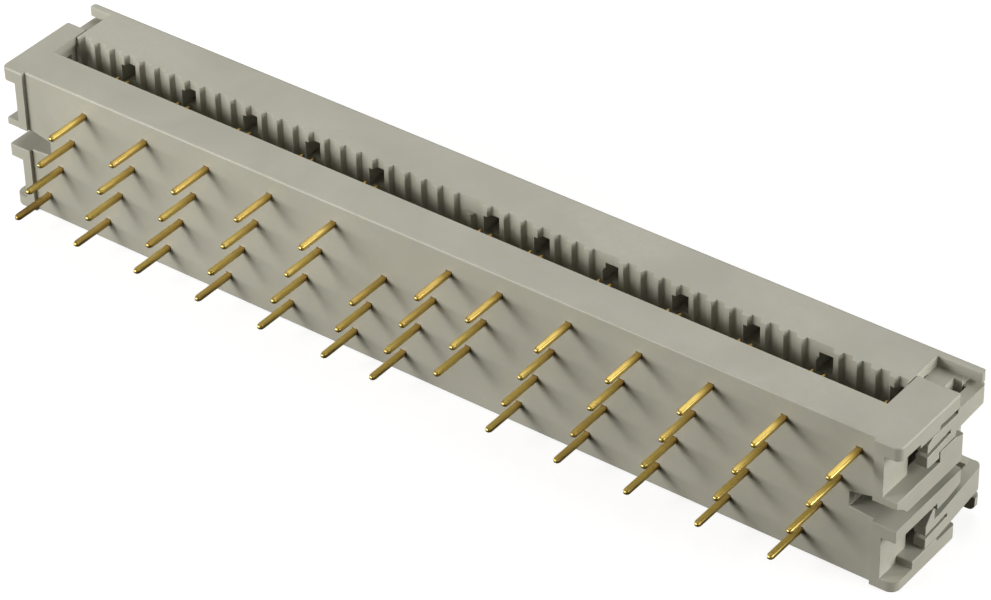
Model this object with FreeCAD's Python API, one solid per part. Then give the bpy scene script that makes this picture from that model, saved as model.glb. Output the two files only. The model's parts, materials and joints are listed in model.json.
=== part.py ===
import FreeCAD, Part
import os
import math

# ---------------------------------------------------------------------------
# Ribbon-cable to circuit-board connector, lying on its long side.
# Working axes: X along the connector, Y through it (pins point to -Y, the
# cover's back looks to +Y), Z up. y = 0 is the main front face of the
# contact carrier and z = 0 is the middle of the pin field. Everything is
# moved by (0, DY, DZ) at the end, so the origin is under the middle of the
# bounding box.
# ---------------------------------------------------------------------------

# contact field
PITCH = 1.27            # cable pitch, one contact per conductor
ROW = 2.54              # distance between pin rows
N = 50                  # contacts
ROW_Z = {1: 1.5 * ROW, 2: 0.5 * ROW, 3: -0.5 * ROW, 4: -1.5 * ROW}

# overall form
HALF_L = 34.02          # half length over the plates
HALF_F = 33.93          # half length over the middle flanges
Z_TOP = 5.28
Z_BOT = -5.42
Y_SEAT = -0.27          # board seat: proud pads at both ends
Y_WALL = 2.87           # back of the carrier's front wall
Y_ARM = 6.15            # back of the carrier's plates and webs
Y_MID = 6.83            # back of the middle flanges
X_PAD = 32.27           # pads start here
X_WEB = 32.95           # outer face of the webs
X_WEB_IN = 32.55        # inner face of the webs behind the front wall
SLOT_L = -32.385        # left end of the cable slot
SLOT_R = 31.115         # right end of the cable slot

# carrier plates and flanges (z of lower and upper side)
TOP_PLATE = (4.32, 5.28)
UP_FLANGE = (0.05, 1.38)
LO_FLANGE = (-1.60, -0.68)
BOT_PLATE = (-5.42, -4.62)

# cover
Y_TIP = 5.10            # tips between the conductor grooves
Y_VALLEY = 5.46         # bottom of the conductor grooves
Y_EAR = 8.35            # front of the back strip
Y_BACK = 9.00           # back of the cover
COVER_L = -32.30
COVER_R = 31.03
RIB_DX = 0.135          # a cover rib stands this far right of the pin below it
POCKET_W = 0.60         # half width of the pockets that take the forks
X_TONGUE = 32.45        # end tongues, inside the webs
X_LEG = 33.22           # inner face of the latch legs, outside the webs
Z_TONGUE = 4.57         # top of the end tongues, level with the underside of the ears

# contacts
PIN_TIP = -3.25
PIN_W = 0.42
PIN_T = 0.37
BLADE_T = 0.35
SHOULDER = 1.30         # contact shoulder inside the wall
TINE_TIP = 4.60
FIT = 0.02              # clearance round a contact in its cavity

DY = -(Y_BACK + PIN_TIP) / 2.0
DZ = -Z_BOT

V = FreeCAD.Vector


def pin_x(i):
    return (i - (N - 1) / 2.0) * PITCH


def rows():
    """Row (1 top .. 4 bottom) of each contact, left to right."""
    out = []
    for i in range(20):
        out.append(4 - i % 4)
    out += [4, 3, 2, 4, 3, 2, 1, 3, 2, 1]
    for i in range(20):
        out.append(4 - i % 4)
    return out


def box(x0, x1, y0, y1, z0, z1):
    return Part.makeBox(x1 - x0, y1 - y0, z1 - z0, V(x0, y0, z0))


def prism_x(yz, x0, x1):
    """Closed polygon of (y, z) points, swept from x0 to x1."""
    pts = [V(x0, y, z) for y, z in yz]
    return Part.Face(Part.makePolygon(pts + [pts[0]])).extrude(V(x1 - x0, 0, 0))


def prism_y(xz, y0, y1):
    pts = [V(x, y0, z) for x, z in xz]
    return Part.Face(Part.makePolygon(pts + [pts[0]])).extrude(V(0, y1 - y0, 0))


def prism_z(xy, z0, z1):
    pts = [V(x, y, z0) for x, y in xy]
    return Part.Face(Part.makePolygon(pts + [pts[0]])).extrude(V(0, 0, z1 - z0))


def mirror_x(s):
    return s.mirror(V(0, 0, 0), V(1, 0, 0))


def fuse(shapes):
    s = shapes[0].fuse(shapes[1:]) if len(shapes) > 1 else shapes[0]
    return s.removeSplitter()


def pick(shape, test):
    """Straight edges whose two ends and middle all pass test(x, y, z)."""
    out = []
    for e in shape.Edges:
        if not isinstance(e.Curve, Part.Line):
            continue
        a, b = e.Vertexes[0].Point, e.Vertexes[-1].Point
        if test(a, b):
            out.append(e)
    return out


def near(a, b, tol=1e-4):
    return abs(a - b) < tol


def round_edges(shape, test, r):
    edges = pick(shape, test)
    return shape.makeFillet(r, edges) if edges else shape


def upright(shape, x, y, r):
    """Round the upright edges that stand at x, y."""
    return round_edges(shape, lambda a, b: near(a.x, x) and near(b.x, x)
                       and near(a.y, y) and near(b.y, y), r)


# ---------------------------------------------------------------------------
# carrier: one moulding
# ---------------------------------------------------------------------------
def carrier():
    parts = [box(-X_WEB, X_WEB, 0, Y_WALL, Z_BOT, Z_TOP)]
    for side in (-1, 1):
        end = []
        inner = abs(SLOT_L) if side < 0 else SLOT_R
        # plates above and below, with the proud pad at the front
        for (z0, z1), r in ((TOP_PLATE, 0.45), (BOT_PLATE, 0.70)):
            plate = prism_z([(inner, 0), (X_PAD, 0), (X_PAD, Y_SEAT), (HALF_L, Y_SEAT),
                             (HALF_L, Y_ARM), (inner, Y_ARM)], z0, z1)
            end.append(upright(plate, HALF_L, Y_SEAT, r))
        # web and its proud front
        end.append(box(X_WEB_IN, X_WEB, Y_WALL - 0.1, Y_ARM, Z_BOT, Z_TOP))
        end.append(box(X_WEB_IN, X_WEB, Y_ARM - 0.1, Y_MID, LO_FLANGE[0], 1.90))
        end.append(box(X_PAD, X_WEB, Y_SEAT, 0.1, Z_BOT, Z_TOP))
        # middle flanges, each with the ledge that the barb sits in front of
        upper = prism_x([(Y_SEAT, UP_FLANGE[1]), (Y_SEAT, 0.90), (0, 0.74), (0.41, 0.46), (0.80, UP_FLANGE[0]),
                         (Y_MID, UP_FLANGE[0]), (Y_MID, 1.90), (6.00, 2.14), (4.25, 2.14), (4.25, UP_FLANGE[1])],
                        X_WEB - 0.1, HALF_F)
        lower = prism_x([(Y_SEAT, LO_FLANGE[1]), (Y_SEAT, LO_FLANGE[0]), (4.22, LO_FLANGE[0]), (4.22, -2.06),
                         (5.05, -2.00), (Y_MID, -1.62), (Y_MID, LO_FLANGE[1])], X_WEB - 0.1, HALF_F)
        end.append(upright(upper, HALF_F, Y_MID, 0.2))
        end.append(upright(lower, HALF_F, Y_MID, 0.2))
        # ledge under the upper plate, where the pressed leg's step stops
        end.append(box(X_WEB - 0.1, HALF_L, 1.85, 3.95, 4.00, TOP_PLATE[0] + 0.1))
        # two steps on the floor of the lower channel
        end.append(box(X_WEB - 0.1, HALF_L, 1.54, 4.22, BOT_PLATE[1] - 0.1, -4.13))
        end.append(box(X_WEB - 0.1, HALF_L, 4.20, Y_ARM, BOT_PLATE[1] - 0.1, -4.33))
        one = upright(fuse(end), HALF_L, Y_ARM, 0.2)
        parts.append(mirror_x(one) if side < 0 else one)
    s = fuse(parts)

    # small radii on the outer edges
    def outer(a, b):
        along_x = near(a.y, b.y) and near(a.z, b.z)
        along_y = near(a.x, b.x) and near(a.z, b.z)
        along_z = near(a.x, b.x) and near(a.y, b.y)
        if along_x and abs(a.x - b.x) > 5 and near(a.y, 0) and (near(a.z, Z_TOP) or near(a.z, Z_BOT)):
            return True
        if along_y and near(abs(a.x), HALF_L) and (near(a.z, Z_TOP) or near(a.z, Z_BOT)):
            return True
        return False
    s = round_edges(s, outer, 0.14)

    cuts = []
    for side in (-1, 1):
        inner = abs(SLOT_L) if side < 0 else SLOT_R
        # the upper plate is thinner where the tongue slides under it
        c = [box(inner - 0.05, X_WEB_IN, Y_WALL, Y_ARM + 0.1, 4.20, 4.64)]
        # windows in the web, one in each channel
        c.append(box(X_WEB_IN - 0.2, X_WEB, 2.30, 4.70, UP_FLANGE[1], 4.00))
        c.append(box(X_WEB_IN - 0.2, X_WEB, 2.46, 4.70, -4.13, LO_FLANGE[0]))
        # funnel in the front wall, in line with the gap between the flanges
        c.append(prism_y([(30.60, 0.52), (X_PAD, 0.88), (X_WEB, 0.88), (X_WEB, LO_FLANGE[1]),
                          (X_PAD, LO_FLANGE[1]), (30.60, -0.52)], Y_SEAT - 0.1, 2.20))
        c = fuse(c)
        cuts.append(mirror_x(c) if side < 0 else c)

    # cavities of the contacts
    for i, row in enumerate(rows()):
        x, z = pin_x(i), ROW_Z[row]
        gc = x - PITCH / 2.0
        cuts.append(box(x - PIN_W / 2 - FIT, x + PIN_W / 2 + FIT, -0.1, SHOULDER + 0.1,
                        z - PIN_T / 2 - FIT, z + PIN_T / 2 + FIT))
        cuts.append(box(gc - 0.64 - FIT, x + PIN_W / 2 + FIT, SHOULDER, Y_WALL + 0.1,
                        z - BLADE_T / 2 - FIT, z + BLADE_T / 2 + FIT))
    return s.cut(cuts)


# ---------------------------------------------------------------------------
# cover: one moulding with the grooves for the ribbon cable
# ---------------------------------------------------------------------------
def groove_outline():
    """Front edge of the cover from left to right, as (x, y): flat grooves
    for the conductors with a narrow steep rib between each two."""
    first = pin_x(-1) + RIB_DX
    last = pin_x(N - 1) + RIB_DX
    pts = [(COVER_L, Y_TIP), (first + 0.17, Y_TIP), (first + 0.32, Y_VALLEY)]
    for k in range(N - 1):
        x = pin_x(k) + RIB_DX
        pts += [(x - 0.32, Y_VALLEY), (x - 0.17, Y_TIP), (x + 0.17, Y_TIP), (x + 0.32, Y_VALLEY)]
    pts += [(last - 0.32, Y_VALLEY), (COVER_R, Y_TIP)]
    return pts


def latch_leg_upper():
    yz = [(2.65, 2.08), (2.80, 1.93), (3.97, 1.93), (3.97, 2.37), (5.72, 2.46), (5.78, 2.77), (6.40, 2.87),
          (Y_BACK, 3.00), (Y_BACK, 4.26), (5.85, 4.26), (5.85, 3.95), (3.22, 3.95), (2.65, 3.62)]
    leg = prism_x(yz, X_LEG, HALF_L)
    slit = prism_x([(2.50, 2.78), (2.50, 3.06), (5.10, 3.29), (5.10, 3.01)], X_LEG - 0.1, HALF_L + 0.1)
    return leg.cut(slit)


def latch_leg_lower():
    yz = [(2.88, -2.45), (3.30, -1.95), (3.62, -1.66), (3.84, -1.66), (3.84, -2.45), (4.20, -2.45),
          (6.26, -2.12), (Y_BACK, -1.70), (Y_BACK, -3.38), (5.35, -3.91), (4.20, -4.07), (2.88, -4.07)]
    leg = prism_x(yz, X_LEG, HALF_L)
    slit = prism_x([(2.70, -3.38), (2.70, -3.10), (5.20, -2.90), (5.20, -3.18)], X_LEG - 0.1, HALF_L + 0.1)
    return leg.cut(slit)


def cover():
    front = groove_outline()
    xy = front + [(COVER_R, Y_BACK), (COVER_L, Y_BACK)]
    s = prism_z(xy, Z_BOT, Z_TOP)

    def bar_edge(a, b):
        along_x = near(a.y, b.y) and near(a.z, b.z)
        return along_x and near(a.y, Y_BACK) and (near(a.z, Z_TOP) or near(a.z, Z_BOT))

    parts = [s]
    for side in (-1, 1):
        end = []
        bar = abs(COVER_L) if side < 0 else COVER_R
        end.append(box(bar - 0.1, X_TONGUE, Y_TIP, Y_BACK, -4.18, Z_TONGUE))
        end.append(box(X_TONGUE - 0.1, X_WEB + 0.03, 7.90, Y_BACK, 3.90, Z_TONGUE))
        # ears of the back strip; the lower one is shorter and rounded below
        end.append(box(bar - 0.1, HALF_L, Y_EAR, Y_BACK, Z_TONGUE, Z_TOP))
        ear = box(bar - 0.1, HALF_L, Y_EAR, Y_BACK, -4.88, -3.91)
        end.append(round_edges(ear, lambda a, b: near(a.x, HALF_L) and near(b.x, HALF_L)
                               and near(a.z, -4.88) and near(b.z, -4.88), 0.45))
        # roots of the latch legs; the strip is open between them
        end.append(box(bar - 0.1, X_LEG + 0.05, 8.00, Y_BACK, 2.97, 4.26))
        end.append(box(bar - 0.1, X_LEG + 0.05, Y_EAR, Y_BACK, -3.38, -1.70))
        end.append(latch_leg_upper())
        end.append(latch_leg_lower())
        one = fuse(end)
        parts.append(mirror_x(one) if side < 0 else one)
    s = fuse(parts)
    s = round_edges(s, bar_edge, 0.30)
    # upright back corners of ears and legs
    plan = box(-HALF_L, HALF_L, 2.0, Y_BACK, Z_BOT - 0.5, Z_TOP + 0.5)
    for x in (-HALF_L, HALF_L):
        plan = upright(plan, x, Y_BACK, 0.45)
    s = s.common(plan)

    cuts = []
    # three ribs are cut back to groove depth next to the upper edge
    for j in (24, 32, 44):
        x = pin_x(j) + RIB_DX
        cuts.append(box(x - 0.36, x + 0.36, Y_TIP - 0.1, Y_VALLEY, 4.22, Z_TOP + 0.1))
    # pockets for the contact tines
    for i, row in enumerate(rows()):
        gc, z = pin_x(i) - PITCH / 2.0, ROW_Z[row]
        cuts.append(box(gc - POCKET_W, gc + POCKET_W, Y_TIP - 0.1, 7.25, z - 0.45, z + 0.78))
    return s.cut(cuts)


# ---------------------------------------------------------------------------
# contact: pin, shoulder and fork, punched from one strip
# ---------------------------------------------------------------------------
def contact_template():
    """Contact with its pin on x = 0, z = 0."""
    w, t = PIN_W / 2.0, PIN_T / 2.0
    shank = box(-w, w, PIN_TIP + 0.30, SHOULDER + 0.35, -t, t)
    c = 0.06
    long_edges = pick(shank, lambda a, b: near(a.x, b.x) and near(a.z, b.z))
    shank = shank.makeChamfer(c, long_edges)

    def ring(y, sx, sz, k):
        return Part.makePolygon([V(x, y, z) for x, z in (
            (-sx + k, -sz), (sx - k, -sz), (sx, -sz + k), (sx, sz - k),
            (sx - k, sz), (-sx + k, sz), (-sx, sz - k), (-sx, -sz + k), (-sx + k, -sz))])
    tip = Part.makeLoft([ring(PIN_TIP + 0.30, w, t, c), ring(PIN_TIP + 0.10, w - 0.04, t - 0.04, c)], True, True)
    cap = Part.makeLoft([ring(PIN_TIP + 0.10, w - 0.04, t - 0.04, c), ring(PIN_TIP, w - 0.12, t - 0.10, 0.03)], True, True)

    g = -PITCH / 2.0
    b = BLADE_T / 2.0
    xy = [(-w, SHOULDER), (w, SHOULDER), (w, 1.75), (g + 0.62, 1.95), (g + 0.62, 3.20), (g + 0.53, 3.65),
          (g + 0.50, 4.45), (g + 0.45, TINE_TIP), (g + 0.38, TINE_TIP), (g + 0.115, 3.95), (g + 0.115, 2.25),
          (g - 0.115, 2.25), (g - 0.115, 3.95), (g - 0.38, TINE_TIP), (g - 0.45, TINE_TIP), (g - 0.50, 4.45),
          (g - 0.53, 3.65), (g - 0.62, 3.20), (g - 0.62, SHOULDER)]
    blade = prism_z(xy, -b, b)
    # the shank above the shoulder is as thin as the blade
    trim = box(-w - 0.1, w + 0.1, SHOULDER, SHOULDER + 0.6, b, t + 0.1)
    trim2 = box(-w - 0.1, w + 0.1, SHOULDER, SHOULDER + 0.6, -t - 0.1, -b)
    shank = shank.cut([trim, trim2])
    return fuse([shank, tip, cap, blade])


def place(shape):
    s = shape.copy()
    s.translate(V(0, DY, DZ))
    return s


def solid_of(shape):
    sol = shape.Solids
    if len(sol) != 1:
        raise RuntimeError("expected one solid, got %d" % len(sol))
    return sol[0]


def main():
    os.makedirs("parts", exist_ok=True)
    place(solid_of(carrier())).exportStep("parts/contact_carrier.step")
    place(solid_of(cover())).exportStep("parts/cover.step")
    base = solid_of(contact_template())
    for i, row in enumerate(rows()):
        c = base.copy()
        c.translate(V(pin_x(i), 0, ROW_Z[row]))
        place(c).exportStep("parts/contact_%02d.step" % (i + 1))


main()
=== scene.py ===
import bpy
import bmesh
import json
import math
import random
from mathutils import Matrix, Vector
from mathutils.bvhtree import BVHTree
from mathutils.geometry import intersect_point_line


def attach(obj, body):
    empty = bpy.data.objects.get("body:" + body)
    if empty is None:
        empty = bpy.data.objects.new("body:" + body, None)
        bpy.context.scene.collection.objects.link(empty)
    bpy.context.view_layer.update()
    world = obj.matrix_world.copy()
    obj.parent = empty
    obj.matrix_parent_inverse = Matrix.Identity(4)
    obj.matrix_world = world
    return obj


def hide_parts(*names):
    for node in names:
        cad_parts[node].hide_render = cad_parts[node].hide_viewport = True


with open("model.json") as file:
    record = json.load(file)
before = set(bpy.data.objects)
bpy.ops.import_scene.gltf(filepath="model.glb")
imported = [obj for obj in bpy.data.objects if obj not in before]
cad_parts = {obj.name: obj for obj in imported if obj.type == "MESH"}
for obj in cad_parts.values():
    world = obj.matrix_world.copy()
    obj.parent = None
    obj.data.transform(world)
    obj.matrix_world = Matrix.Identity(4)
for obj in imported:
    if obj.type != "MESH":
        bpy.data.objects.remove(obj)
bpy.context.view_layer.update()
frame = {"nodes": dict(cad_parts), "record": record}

MM = 0.001
DY, DZ = -2.875, 5.42          # working axes (board face y = 0, pin field z = 0) to the row frame
PITCH, ROW, N = 1.27, 2.54, 50
PIN_TIP, PIN_W, PIN_T = -3.25, 0.42, 0.37
SHOULDER, TINE_TIP, BLADE_T = 1.30, 4.60, 0.35


def pin_x(i):
    return (i - (N - 1) / 2.0) * PITCH


# ---------------------------------------------------------------------------
# node helpers
# ---------------------------------------------------------------------------
def srgb(r, g, b):
    def f(c):
        c /= 255.0
        return c / 12.92 if c <= 0.04045 else ((c + 0.055) / 1.055) ** 2.4
    return (f(r), f(g), f(b), 1.0)


class Graph:
    """Small helper for building a node tree."""

    def __init__(self, name):
        self.mat = bpy.data.materials.new(name)
        self.mat.use_nodes = True
        self.t = self.mat.node_tree
        self.t.nodes.clear()
        self.out = self.t.nodes.new("ShaderNodeOutputMaterial")
        self.bsdf = self.t.nodes.new("ShaderNodeBsdfPrincipled")
        self.link(self.bsdf.outputs[0], self.out.inputs[0])

    def link(self, a, b):
        self.t.links.new(a, b)

    def node(self, kind, **props):
        n = self.t.nodes.new(kind)
        for k, v in props.items():
            setattr(n, k, v)
        return n

    def coords(self):
        """Object coordinates in millimetres."""
        tc = self.node("ShaderNodeTexCoord")
        s = self.node("ShaderNodeVectorMath", operation="SCALE")
        self.link(tc.outputs["Object"], s.inputs[0])
        s.inputs["Scale"].default_value = 1000.0
        return s.outputs[0]

    def noise(self, vec, scale, detail=2.0, rough=0.5, distort=0.0):
        n = self.node("ShaderNodeTexNoise")
        self.link(vec, n.inputs["Vector"])
        n.inputs["Scale"].default_value = scale
        n.inputs["Detail"].default_value = detail
        n.inputs["Roughness"].default_value = rough
        n.inputs["Distortion"].default_value = distort
        return n.outputs["Fac"]

    def remap(self, val, a, b, c, d):
        n = self.node("ShaderNodeMapRange", clamp=True)
        self.link(val, n.inputs[0])
        for k, v in zip((1, 2, 3, 4), (a, b, c, d)):
            n.inputs[k].default_value = v
        return n.outputs[0]

    def math(self, op, a, b=None):
        n = self.node("ShaderNodeMath", operation=op)
        for k, v in ((0, a), (1, b)):
            if v is None:
                continue
            if isinstance(v, (int, float)):
                n.inputs[k].default_value = v
            else:
                self.link(v, n.inputs[k])
        return n.outputs[0]

    def mix(self, fac, a, b, blend="MIX"):
        n = self.node("ShaderNodeMix", data_type="RGBA", blend_type=blend)
        for k, v in ((0, fac), (6, a), (7, b)):
            if isinstance(v, (int, float)):
                n.inputs[k].default_value = v
            elif isinstance(v, tuple):
                n.inputs[k].default_value = v
            else:
                self.link(v, n.inputs[k])
        return n.outputs[2]

    def bump(self, height, strength, distance, normal=None):
        n = self.node("ShaderNodeBump")
        n.inputs["Strength"].default_value = strength
        n.inputs["Distance"].default_value = distance
        self.link(height, n.inputs["Height"])
        if normal is not None:
            self.link(normal, n.inputs["Normal"])
        return n.outputs[0]

    def sep(self, vec):
        n = self.node("ShaderNodeSeparateXYZ")
        self.link(vec, n.inputs[0])
        return n.outputs


# ---------------------------------------------------------------------------
# materials
# ---------------------------------------------------------------------------
def housing_material(name, base, seed):
    """Warm grey glass-filled moulding: faint cloudy flow, fine mottling, satin grain."""
    g = Graph(name)
    p = g.coords()
    off = g.node("ShaderNodeVectorMath", operation="ADD")
    g.link(p, off.inputs[0])
    off.inputs[1].default_value = (seed * 3.1, seed * 1.7, seed * 2.3)
    v = off.outputs[0]
    cloud = g.noise(v, 0.16, 3.0, 0.55, 0.4)
    flow = g.noise(v, 0.9, 4.0, 0.6, 0.8)
    mott = g.noise(v, 3.4, 3.0, 0.6)
    grain = g.noise(v, 14.0, 2.0, 0.6)
    light = tuple(min(1.0, c * 1.07) for c in base[:3]) + (1.0,)
    dark = tuple(c * 0.92 for c in base[:3]) + (1.0,)
    warm = (base[0] * 1.03, base[1] * 0.985, base[2] * 0.90, 1.0)
    c = g.mix(g.remap(cloud, 0.35, 0.65, 0.0, 1.0), dark, light)
    c = g.mix(g.remap(flow, 0.42, 0.72, 0.0, 0.55), c, warm)
    c = g.mix(g.remap(mott, 0.35, 0.7, 0.0, 0.28), c, dark)
    c = g.mix(g.remap(grain, 0.62, 0.8, 0.0, 0.18), c, light)
    g.link(c, g.bsdf.inputs["Base Color"])
    r = g.math("ADD", g.remap(flow, 0.3, 0.7, 0.40, 0.50), g.remap(grain, 0.3, 0.7, -0.03, 0.05))
    g.link(r, g.bsdf.inputs["Roughness"])
    h = g.math("ADD", g.math("MULTIPLY", mott, 0.55), g.math("MULTIPLY", grain, 0.45))
    g.link(g.bump(h, 0.35, 0.00002), g.bsdf.inputs["Normal"])
    g.bsdf.inputs["IOR"].default_value = 1.50
    return g.mat


def gold_material(name, brown=0.0, seed=0.0):
    """Thin gold over bronze: draw lines along the pin, duller and browner near the board face."""
    g = Graph(name)
    p = g.coords()
    xyz = g.sep(p)
    st = g.node("ShaderNodeVectorMath", operation="MULTIPLY")
    g.link(p, st.inputs[0])
    st.inputs[1].default_value = (9.0, 0.8, 9.0)
    streak = g.noise(st.outputs[0], 1.0, 3.0, 0.6)
    patch = g.noise(p, 1.6, 3.0, 0.6, 0.5)
    bright = (0.74, 0.57, 0.18, 1.0)
    mid = (0.66, 0.48, 0.13, 1.0)
    dull = (0.44, 0.27, 0.08, 1.0)
    c = g.mix(g.remap(streak, 0.3, 0.7, 0.0, 1.0), bright, mid)
    # position along the pin: 0 at the board face, 1 at the tip
    along = g.remap(xyz[1], DY - 0.0, DY + PIN_TIP, 0.0, 1.0)
    base = g.remap(along, 0.0, 0.42, 1.0, 0.0)
    fac = g.math("MULTIPLY", base, g.remap(patch, 0.25, 0.75, 0.35, 1.0))
    if brown:
        fac = g.math("MAXIMUM", fac, g.remap(patch, 0.2, 0.6, brown * 0.6, brown))
    c = g.mix(fac, c, dull)
    g.link(c, g.bsdf.inputs["Base Color"])
    g.bsdf.inputs["Metallic"].default_value = 1.0
    r = g.math("ADD", g.remap(streak, 0.3, 0.7, 0.40, 0.48), g.math("MULTIPLY", fac, 0.08))
    g.link(r, g.bsdf.inputs["Roughness"])
    g.link(g.bump(streak, 0.10, 0.000004), g.bsdf.inputs["Normal"])
    return g.mat


HOUSING = housing_material("housing_plastic", (0.396, 0.392, 0.338, 1.0), 1.0)
COVER = housing_material("cover_plastic", (0.408, 0.406, 0.350, 1.0), 4.0)
GOLD = gold_material("contact_gold", 0.0)
GOLD_WARM = gold_material("contact_gold_warm", 0.35, 2.0)
GOLD_BROWN = gold_material("contact_gold_brown", 0.8, 5.0)


# ---------------------------------------------------------------------------
# mouldings: the CAD mesh with its sharp edges broken
# ---------------------------------------------------------------------------
def softened(node, name, material, width, keep):
    """Copy of a CAD node with rounded edges. keep(p, q) says whether an edge with these ends, in mm, is rounded."""
    src = frame["nodes"][node]
    bm = bmesh.new()
    bm.from_mesh(src.data)
    bmesh.ops.scale(bm, vec=(1000, 1000, 1000), verts=bm.verts)
    bmesh.ops.remove_doubles(bm, verts=bm.verts, dist=0.0005)
    bmesh.ops.dissolve_limit(bm, angle_limit=math.radians(0.6), use_dissolve_boundaries=False,
                             verts=bm.verts, edges=bm.edges, delimit=set())
    tree = BVHTree.FromBMesh(bm)
    lo = [min(v.co[k] for v in bm.verts) for k in range(3)]
    hi = [max(v.co[k] for v in bm.verts) for k in range(3)]
    lay = bm.edges.layers.float.new("bevel_weight_edge")
    lim = math.cos(math.radians(38))
    rounded = []
    for e in bm.edges:
        if len(e.link_faces) != 2:
            continue
        if e.link_faces[0].normal.dot(e.link_faces[1].normal) > lim:
            continue
        # an edge next to a very short one is left as it is
        if any(n.calc_length() < 2.4 * width for v in e.verts for n in v.link_edges):
            continue
        if keep(e.verts[0].co, e.verts[1].co):
            e[lay] = 1.0
            rounded.append(e)

    ob = bpy.data.objects.new(name, bpy.data.meshes.new(name))
    bpy.context.scene.collection.objects.link(ob)
    # rounding that leaves the surface is taken back round that place
    for attempt in range(6):
        me = bpy.data.meshes.new(name)
        bm.to_mesh(me)
        ob.modifiers.clear()
        ob.data = me
        m = ob.modifiers.new("round", "BEVEL")
        m.limit_method = "WEIGHT"
        m.width = width
        m.segments = 2
        m.profile = 0.5
        m.use_clamp_overlap = False
        m.miter_outer = "MITER_SHARP"
        dg = bpy.context.evaluated_depsgraph_get()
        new = bpy.data.meshes.new_from_object(ob.evaluated_get(dg))
        bad = []
        for v in new.vertices:
            if tree.find_nearest(v.co)[3] > 0.6 * width:
                bad.append(v.co.copy())
        if not bad:
            break
        for e in rounded:
            a, b = e.verts[0].co, e.verts[1].co
            for q in bad:
                near, t = intersect_point_line(q, a, b)
                near = a if t < 0 else b if t > 1 else near
                if (near - q).length < 0.5:
                    e[lay] = 0.0
                    break
    bm.free()
    print("softened", name, "attempt", attempt, "left off the surface", len(bad))
    for v in new.vertices:
        for k in range(3):
            v.co[k] = min(max(v.co[k], lo[k]), hi[k])
    new.transform(Matrix.Scale(0.001, 4))
    new.materials.clear()
    new.materials.append(material)
    # flat faces keep their own normal; the small rounded edges are fine enough to need no blending
    for poly in new.polygons:
        poly.use_smooth = False
    ob.modifiers.clear()
    ob.data = new
    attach(ob, body_name(node))
    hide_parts(node)
    return ob


def body_name(node):
    for b, members in (frame["record"].get("behaviour") or {}).get("bodies", {}).items():
        if node in members:
            return b
    return "root"


def in_wall(co):
    """Inside the contact cavities of the front wall."""
    y = co.y - DY
    return 0.05 < y < 2.80


def keep_carrier(a, b):
    la = (a - b).length
    if la < 0.09:
        return False
    ya, yb = a.y - DY, b.y - DY
    za, zb = a.z - DZ, b.z - DZ
    # rims of the windows in the webs stay crisp
    if abs(abs(a.x) - 32.95) < 0.02 and abs(abs(b.x) - 32.95) < 0.02:
        return False
    if abs(a.x) < 32.3 and abs(b.x) < 32.3 and abs(za) < 4.6 and abs(zb) < 4.6:
        # mouths and insides of the contact cavities stay crisp
        if not (abs(a.x) > 30.5 and abs(za) < 1.2):
            return False
    return True


def keep_cover(a, b):
    if (a - b).length < 0.09:
        return False
    ya, yb = a.y - DY, b.y - DY
    if abs(a.x) < 32.2 and abs(b.x) < 32.2 and 4.9 < ya < 7.4 and 4.9 < yb < 7.4:
        # ribs, grooves and pocket mouths stay crisp
        return False
    if ya > 5.6 and yb > 5.6 and abs(a.x) < 31.0 and abs(b.x) < 31.0 and ya < 8.9 and yb < 8.9:
        return False
    return True


carrier = softened("contact_carrier", "contact_carrier_visual", HOUSING, 0.05, keep_carrier)
cover = softened("cover", "cover_visual", COVER, 0.045, keep_cover)


# ---------------------------------------------------------------------------
# contacts
# ---------------------------------------------------------------------------
def rounded_rect(w, t, r, seg=3):
    """Points of a rounded rectangle, half sizes w and t, in (x, z)."""
    r = min(r, w * 0.98, t * 0.98)
    pts = []
    for cx, cz, a0 in ((w - r, t - r, 0), (-w + r, t - r, 90), (-w + r, -t + r, 180), (w - r, -t + r, 270)):
        for k in range(seg + 1):
            a = math.radians(a0 + 90.0 * k / seg)
            pts.append((cx + r * math.cos(a), cz + r * math.sin(a)))
    return pts


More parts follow.
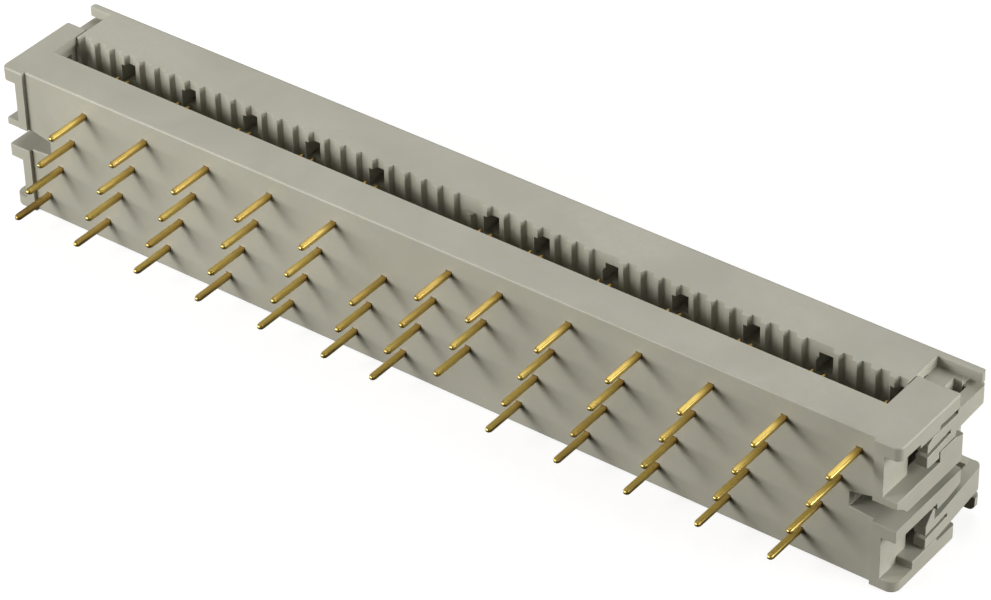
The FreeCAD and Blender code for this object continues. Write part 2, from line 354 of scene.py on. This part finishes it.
def contact_mesh(name):
    """Pin with a domed tip, and the forked blade, about x = 0, z = 0, in mm."""
    bm = bmesh.new()
    w, t = PIN_W / 2, PIN_T / 2
    rings = []
    L0 = PIN_TIP
    prof = [(0.0, 0.30), (0.012, 0.46), (0.04, 0.62), (0.08, 0.75), (0.14, 0.87), (0.21, 0.95), (0.30, 1.0)]
    ys = [(L0 + d, s) for d, s in prof] + [(-1.6, 1.0), (-0.6, 1.0), (0.2, 1.0), (SHOULDER, 1.0)]
    for y, s in ys:
        r = 0.10 if s == 1.0 else 0.10 + 0.1 * (1 - s)
        ring = [bm.verts.new((x, y, z)) for x, z in rounded_rect(w * s, t * s, r * (s if s < 1 else 1), 4)]
        rings.append(ring)
    n = len(rings[0])
    for a, b in zip(rings[:-1], rings[1:]):
        for k in range(n):
            bm.faces.new((a[k], a[(k + 1) % n], b[(k + 1) % n], b[k]))
    bm.faces.new(list(reversed(rings[0])))
    bm.faces.new(rings[-1])
    bmesh.ops.recalc_face_normals(bm, faces=bm.faces)
    for f in bm.faces:
        f.smooth = True

    g, b = -PITCH / 2.0, BLADE_T / 2.0
    xy = [(-w, SHOULDER), (w, SHOULDER), (w, 1.75), (g + 0.62, 1.95), (g + 0.62, 3.20), (g + 0.53, 3.65),
          (g + 0.50, 4.45), (g + 0.45, TINE_TIP), (g + 0.38, TINE_TIP), (g + 0.115, 3.95), (g + 0.115, 2.25),
          (g - 0.115, 2.25), (g - 0.115, 3.95), (g - 0.38, TINE_TIP), (g - 0.45, TINE_TIP), (g - 0.50, 4.45),
          (g - 0.53, 3.65), (g - 0.62, 3.20), (g - 0.62, SHOULDER)]
    lo = [bm.verts.new((x, y, -b)) for x, y in xy]
    hi = [bm.verts.new((x, y, b)) for x, y in xy]
    bm.faces.new(list(reversed(lo)))
    bm.faces.new(hi)
    m = len(xy)
    side = []
    for k in range(m):
        side.append(bm.faces.new((lo[k], lo[(k + 1) % m], hi[(k + 1) % m], hi[k])))
    edges = list({e for f in side for e in f.edges if abs(e.verts[0].co.z - e.verts[1].co.z) < 1e-6})
    edges.sort(key=lambda e: (min(v.co.x for v in e.verts), min(v.co.y for v in e.verts), e.verts[0].co.z))
    bmesh.ops.recalc_face_normals(bm, faces=bm.faces)
    bmesh.ops.bevel(bm, geom=edges, offset=0.035, segments=1, affect="EDGES", clamp_overlap=True)
    me = bpy.data.meshes.new(name)
    bm.to_mesh(me)
    bm.free()
    return me


def rows():
    out = []
    for i in range(20):
        out.append(4 - i % 4)
    out += [4, 3, 2, 4, 3, 2, 1, 3, 2, 1]
    for i in range(20):
        out.append(4 - i % 4)
    return out


ROW_Z = {1: 1.5 * ROW, 2: 0.5 * ROW, 3: -0.5 * ROW, 4: -1.5 * ROW}
template = contact_mesh("contact_template")
rnd = random.Random(7)
for i, row in enumerate(rows()):
    node = "contact_%02d" % (i + 1)
    me = template.copy()
    me.name = node + "_mesh"
    me.transform(Matrix.Translation((pin_x(i), DY, ROW_Z[row] + DZ)))
    me.transform(Matrix.Scale(0.001, 4))
    me.materials.clear()
    if i == 0:
        mat = GOLD_BROWN
    elif rnd.random() < 0.2:
        mat = GOLD_WARM
    else:
        mat = GOLD
    me.materials.append(mat)
    ob = bpy.data.objects.new(node + "_visual", me)
    bpy.context.scene.collection.objects.link(ob)
    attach(ob, body_name(node))
    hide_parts(node)

# the carried-over nodes keep a finished material too
for node, ob in frame["nodes"].items():
    ob.data.materials.clear()
    ob.data.materials.append(HOUSING if node == "contact_carrier" else COVER if node == "cover" else GOLD)


# ---------------------------------------------------------------------------
# stage: floor, light, camera
# ---------------------------------------------------------------------------
def floor_material():
    g = Graph("floor_paper")
    p = g.coords()
    n = g.noise(p, 0.05, 2.0, 0.5)
    c = g.mix(g.remap(n, 0.3, 0.7, 0.0, 1.0), (0.29, 0.29, 0.29, 1.0), (0.31, 0.31, 0.31, 1.0))
    g.link(c, g.bsdf.inputs["Base Color"])
    g.bsdf.inputs["Roughness"].default_value = 0.9
    g.bsdf.inputs["Specular IOR Level"].default_value = 0.0
    g.bsdf.inputs["Emission Color"].default_value = (1.0, 1.0, 1.0, 1.0)
    g.bsdf.inputs["Emission Strength"].default_value = 0.80
    return g.mat


fm = bpy.data.meshes.new("floor")
bm = bmesh.new()
bmesh.ops.create_grid(bm, x_segments=2, y_segments=2, size=3.0)
bm.to_mesh(fm)
bm.free()
floor = bpy.data.objects.new("floor", fm)
floor.location = (0, 0, -0.00002)
fm.materials.append(floor_material())
bpy.context.scene.collection.objects.link(floor)
# the paper sends no light back into the shadows of the mouldings
floor.visible_diffuse = False
floor.visible_glossy = False


def area(name, loc, target, size, power, color=(1, 1, 1), size_y=None):
    li = bpy.data.lights.new(name, "AREA")
    li.shape = "RECTANGLE"
    li.size = size
    li.size_y = size_y or size
    li.energy = power
    li.color = color
    ob = bpy.data.objects.new(name, li)
    ob.location = loc
    d = Vector(target) - Vector(loc)
    ob.rotation_euler = d.to_track_quat("-Z", "Y").to_euler()
    bpy.context.scene.collection.objects.link(ob)
    return ob


# key low on the left in front of the pins, close enough to fall off along the row
area("key", (-0.0952, -0.1374, 0.0882), (0, 0, 0.005), 0.052, 0.125, (1.0, 0.985, 0.95))
area("broad", (-0.1000, -0.1450, 0.0590), (0, 0, 0.005), 0.20, 0.325, (1.0, 0.985, 0.95), size_y=0.085)
# wide softbox on the right, and one overhead
area("side", (0.400, 0.130, 0.110), (0, 0, 0.005), 0.32, 2.75, (1.0, 0.99, 0.965))
area("top", (-0.07, 0.15, 0.27), (0, 0, 0.005), 0.24, 0.385, (1.0, 0.995, 0.98))

world = bpy.data.worlds.new("studio")
world.use_nodes = True
bg = world.node_tree.nodes["Background"]
bg.inputs[0].default_value = (1.0, 0.90, 0.66, 1.0)
bg.inputs[1].default_value = 0.035
bpy.context.scene.world = world

R = ((0.7981741785, 0.6020273594, -0.0219326108),
     (0.3437915052, -0.485094792, -0.8040462945),
     (-0.4946972628, 0.6342287453, -0.5941620291))
C = (125.9789, -154.5883, 148.1411)
cam = bpy.data.cameras.new("camera")
cam.sensor_fit = "HORIZONTAL"
cam.sensor_width = 36.0
cam.lens = 4090.9 / 991.0 * 36.0
cam.clip_start = 0.005
cam.clip_end = 20.0
camera = bpy.data.objects.new("camera", cam)
m = Matrix(((R[0][0], -R[1][0], -R[2][0], C[0] * MM),
            (R[0][1], -R[1][1], -R[2][1], (C[1] + DY) * MM),
            (R[0][2], -R[1][2], -R[2][2], (C[2] + DZ) * MM),
            (0, 0, 0, 1)))
camera.matrix_world = m
bpy.context.scene.collection.objects.link(camera)
bpy.context.scene.camera = camera
bpy.context.scene.view_settings.view_transform = "Standard"
bpy.context.scene.view_settings.look = "None"
